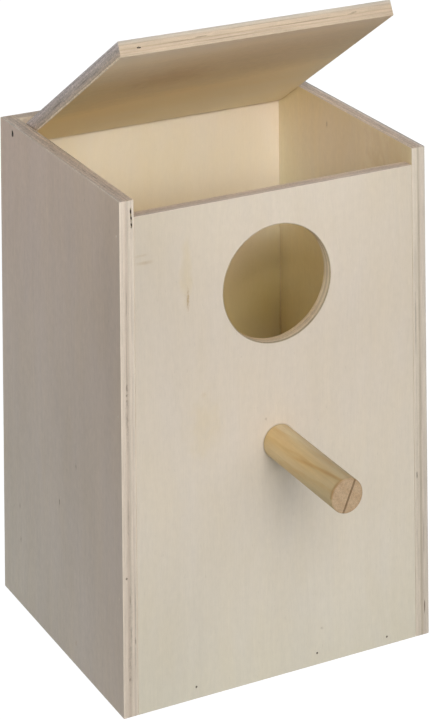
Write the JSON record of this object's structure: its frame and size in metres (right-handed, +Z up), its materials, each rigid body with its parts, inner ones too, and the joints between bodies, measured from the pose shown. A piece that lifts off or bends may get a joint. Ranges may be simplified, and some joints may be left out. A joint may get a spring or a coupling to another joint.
{
  "type": "nesting box",
  "caption": "Tall plywood nesting box for cage birds with a round entrance, a dowel perch and a lid that rocks open on two nails near its back edge.",
  "frame": {"origin": "centre of the base, on the plane the box stands on", "axes": "+X to the right seen from the front, +Y towards the back, +Z up; the entrance and the perch face -Y"},
  "size_m": [0.2, 0.291, 0.3861],
  "materials": {
    "plywood": "unfinished sanded poplar plywood",
    "dowel_wood": "unfinished pine dowel",
    "nail_steel": "dark oxide",
    "brad_steel": "dull bright drawn wire"
  },
  "bodies": {
    "box": {"left_side": "plywood", "right_side": "plywood", "front_panel": "plywood", "back_panel": "plywood", "floor_panel": "plywood", "perch_dowel": "dowel_wood", "front_left_brads": "brad_steel", "front_right_brads": "brad_steel", "back_left_brads": "brad_steel", "back_right_brads": "brad_steel", "floor_left_brads": "brad_steel", "floor_right_brads": "brad_steel", "floor_front_brads": "brad_steel", "floor_back_brads": "brad_steel"},
    "lid": {"lid": "plywood", "left_pivot_nail": "nail_steel", "right_pivot_nail": "nail_steel"}
  },
  "joints": [
    {"name": "lid_hinge", "type": "hinge", "parent": "box", "child": "lid", "pos_m": [0, 0.078, 0.295], "axis": [-1, 0, 0], "range_deg": [-29.2, 107.5]}
  ]
}
